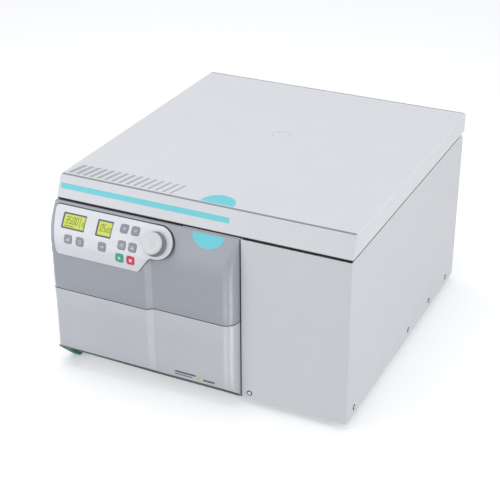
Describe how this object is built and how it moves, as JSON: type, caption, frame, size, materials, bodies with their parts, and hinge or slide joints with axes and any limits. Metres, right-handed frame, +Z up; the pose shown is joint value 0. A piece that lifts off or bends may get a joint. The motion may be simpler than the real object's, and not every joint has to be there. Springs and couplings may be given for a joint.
{
  "type": "laboratory centrifuge",
  "caption": "Benchtop laboratory centrifuge: steel cabinet with a hinged lid, a bulged front cover with keys, displays and a knob, and a swing-out rotor in a round bowl.",
  "frame": {"origin": "on the bench, under the middle of the overall box", "axes": "+Z up, -Y towards the user, +X to the user's right"},
  "size_m": [0.62, 0.7185, 0.4043],
  "materials": {
    "white_paint": "textured powder coat",
    "zinc_steel": "zinc plated",
    "stainless": "satin",
    "aluminium": "anodised satin",
    "steel": "ground",
    "cast_alloy": "cast",
    "copper_core": "varnished winding on an iron core",
    "dark_plastic": "fine texture",
    "light_plastic": "fine texture",
    "panel_white": "smooth matte",
    "key_grey": "matte",
    "key_green": "matte",
    "key_red": "matte",
    "display_lime": "display",
    "black_rubber": "matte",
    "green_rubber": "matte",
    "black_plastic": "matte",
    "board_green": "solder mask",
    "clear_acrylic": "polished"
  },
  "bodies": {
    "cabinet": {"base_pan": "zinc_steel", "hinge_brackets": "zinc_steel", "latch_bracket": "zinc_steel", "foot_front_left": "green_rubber", "foot_rear_left": "green_rubber", "foot_front_right": "green_rubber", "foot_rear_right": "green_rubber", "cabinet_wrap": "white_paint", "rear_panel": "white_paint", "top_deck": "white_paint", "deck_edge_seal": "black_rubber", "bowl_gasket": "black_rubber", "vibration_mount": "black_rubber", "shaft_boot": "black_rubber", "front_fascia": "dark_plastic", "front_lower_panel": "light_plastic", "control_panel": "panel_white", "display_module": "display_lime", "control_board": "board_green", "chamber_bowl": "stainless", "hinge_rod": "stainless", "containment_ring": "steel", "lower_bearing": "steel", "upper_bearing": "steel", "motor_plate": "cast_alloy", "motor_housing": "cast_alloy", "latch_motor": "cast_alloy", "motor_stator": "copper_core", "fan_frame": "black_plastic", "power_entry": "black_plastic", "drive_inverter": "aluminium"},
    "lid": {"lid_cover": "white_paint", "lid_liner": "white_paint", "viewport_window": "clear_acrylic", "lid_striker": "zinc_steel", "lid_arms": "zinc_steel"},
    "rotor": {"drive_shaft": "steel", "rotor_head": "aluminium", "rotor_nut": "stainless"},
    "bucket_1": {"bucket_1": "stainless"},
    "bucket_2": {"bucket_2": "stainless"},
    "bucket_3": {"bucket_3": "stainless"},
    "bucket_4": {"bucket_4": "stainless"},
    "latch": {"latch_shaft": "steel"},
    "strut_cylinder_left": {"strut_cylinder_left": "black_plastic"},
    "strut_rod_left": {"strut_rod_left": "stainless"},
    "strut_cylinder_right": {"strut_cylinder_right": "black_plastic"},
    "strut_rod_right": {"strut_rod_right": "stainless"},
    "control_knob": {"control_knob": "panel_white"},
    "key_speed": {"key_speed": "key_grey"},
    "key_force": {"key_force": "key_grey"},
    "key_time": {"key_time": "key_grey"},
    "key_accelerate": {"key_accelerate": "key_grey"},
    "key_brake": {"key_brake": "key_grey"},
    "key_program": {"key_program": "key_grey"},
    "key_lid": {"key_lid": "key_grey"},
    "key_start": {"key_start": "key_green"},
    "key_stop": {"key_stop": "key_red"},
    "fan_rotor": {"fan_rotor": "black_plastic"},
    "mains_rocker": {"mains_rocker": "black_plastic"}
  },
  "joints": [
    {"name": "lid_hinge", "type": "hinge", "parent": "cabinet", "child": "lid", "pos_m": [0, 0.34011, 0.354], "axis": [-1, 0, 0], "range_deg": [0, 65]},
    {"name": "strut_tilt_left", "type": "hinge", "parent": "cabinet", "child": "strut_cylinder_left", "pos_m": [-0.2625, 0.29511, 0.074], "axis": [1, 0, 0], "range_deg": [0, 2.52]},
    {"name": "strut_stroke_left", "type": "slide", "parent": "strut_cylinder_left", "child": "strut_rod_left", "axis": [0, 0.053, 0.9986], "range_m": [0, 0.04697]},
    {"name": "strut_tilt_right", "type": "hinge", "parent": "cabinet", "child": "strut_cylinder_right", "pos_m": [0.2625, 0.29511, 0.074], "axis": [1, 0, 0], "range_deg": [0, 2.52]},
    {"name": "strut_stroke_right", "type": "slide", "parent": "strut_cylinder_right", "child": "strut_rod_right", "axis": [0, 0.053, 0.9986], "range_m": [0, 0.04697]},
    {"name": "rotor_spin", "type": "hinge", "parent": "cabinet", "child": "rotor", "pos_m": [0, 0.07441, 0.2], "axis": [0, 0, 1], "continuous": true},
    {"name": "bucket_swing_1", "type": "hinge", "parent": "rotor", "child": "bucket_1", "pos_m": [0.09, 0.07441, 0.283], "axis": [0, -1, 0], "range_deg": [0, 90]},
    {"name": "bucket_swing_2", "type": "hinge", "parent": "rotor", "child": "bucket_2", "pos_m": [0, 0.16441, 0.283], "axis": [1, 0, 0], "range_deg": [0, 90]},
    {"name": "bucket_swing_3", "type": "hinge", "parent": "rotor", "child": "bucket_3", "pos_m": [-0.09, 0.07441, 0.283], "axis": [0, 1, 0], "range_deg": [0, 90]},
    {"name": "bucket_swing_4", "type": "hinge", "parent": "rotor", "child": "bucket_4", "pos_m": [0, -0.01559, 0.283], "axis": [-1, 0, 0], "range_deg": [0, 90]},
    {"name": "latch_turn", "type": "hinge", "parent": "cabinet", "child": "latch", "pos_m": [0, -0.25889, 0.312], "axis": [1, 0, 0], "range_deg": [0, 28]},
    {"name": "knob_turn", "type": "hinge", "parent": "cabinet", "child": "control_knob", "pos_m": [-0.0735, -0.33278, 0.3245], "axis": [0, -0.8566, 0.5159], "continuous": true},
    {"name": "key_speed_press", "type": "slide", "parent": "cabinet", "child": "key_speed", "axis": [0, 0.9646, -0.2637], "range_m": [0, 0.0012], "stiffness_N_per_m": 600, "springref_m": -0.0004},
    {"name": "key_force_press", "type": "slide", "parent": "cabinet", "child": "key_force", "axis": [0, 0.9646, -0.2637], "range_m": [0, 0.0012], "stiffness_N_per_m": 600, "springref_m": -0.0004},
    {"name": "key_time_press", "type": "slide", "parent": "cabinet", "child": "key_time", "axis": [0, 0.963, -0.2696], "range_m": [0, 0.0012], "stiffness_N_per_m": 600, "springref_m": -0.0004},
    {"name": "key_accelerate_press", "type": "slide", "parent": "cabinet", "child": "key_accelerate", "axis": [0, 0.7967, -0.6043], "range_m": [0, 0.0012], "stiffness_N_per_m": 600, "springref_m": -0.0004},
    {"name": "key_brake_press", "type": "slide", "parent": "cabinet", "child": "key_brake", "axis": [0, 0.7967, -0.6043], "range_m": [0, 0.0012], "stiffness_N_per_m": 600, "springref_m": -0.0004},
    {"name": "key_program_press", "type": "slide", "parent": "cabinet", "child": "key_program", "axis": [0, 0.9212, -0.3891], "range_m": [0, 0.0012], "stiffness_N_per_m": 600, "springref_m": -0.0004},
    {"name": "key_lid_press", "type": "slide", "parent": "cabinet", "child": "key_lid", "axis": [0, 0.9212, -0.3891], "range_m": [0, 0.0012], "stiffness_N_per_m": 600, "springref_m": -0.0004},
    {"name": "key_start_press", "type": "slide", "parent": "cabinet", "child": "key_start", "axis": [0, 0.9958, -0.0913], "range_m": [0, 0.0012], "stiffness_N_per_m": 600, "springref_m": -0.0004},
    {"name": "key_stop_press", "type": "slide", "parent": "cabinet", "child": "key_stop", "axis": [0, 0.9958, -0.0913], "range_m": [0, 0.0012], "stiffness_N_per_m": 600, "springref_m": -0.0004},
    {"name": "fan_spin", "type": "hinge", "parent": "cabinet", "child": "fan_rotor", "pos_m": [-0.17, 0.33741, 0.19], "axis": [0, 1, 0], "continuous": true},
    {"name": "mains_switch", "type": "hinge", "parent": "cabinet", "child": "mains_rocker", "pos_m": [0.168, 0.34791, 0.0575], "axis": [-1, 0, 0], "range_deg": [0, 20]}
  ],
  "couplings": [
    {"joint": "strut_tilt_left", "follows": "lid_hinge", "ratio": 0.038671},
    {"joint": "strut_stroke_left", "follows": "lid_hinge", "m_per_rad": 0.041318},
    {"joint": "strut_tilt_right", "follows": "lid_hinge", "ratio": 0.038671},
    {"joint": "strut_stroke_right", "follows": "lid_hinge", "m_per_rad": 0.041318},
    {"joint": "bucket_swing_2", "follows": "bucket_swing_1", "ratio": 1},
    {"joint": "bucket_swing_3", "follows": "bucket_swing_1", "ratio": 1},
    {"joint": "bucket_swing_4", "follows": "bucket_swing_1", "ratio": 1}
  ]
}
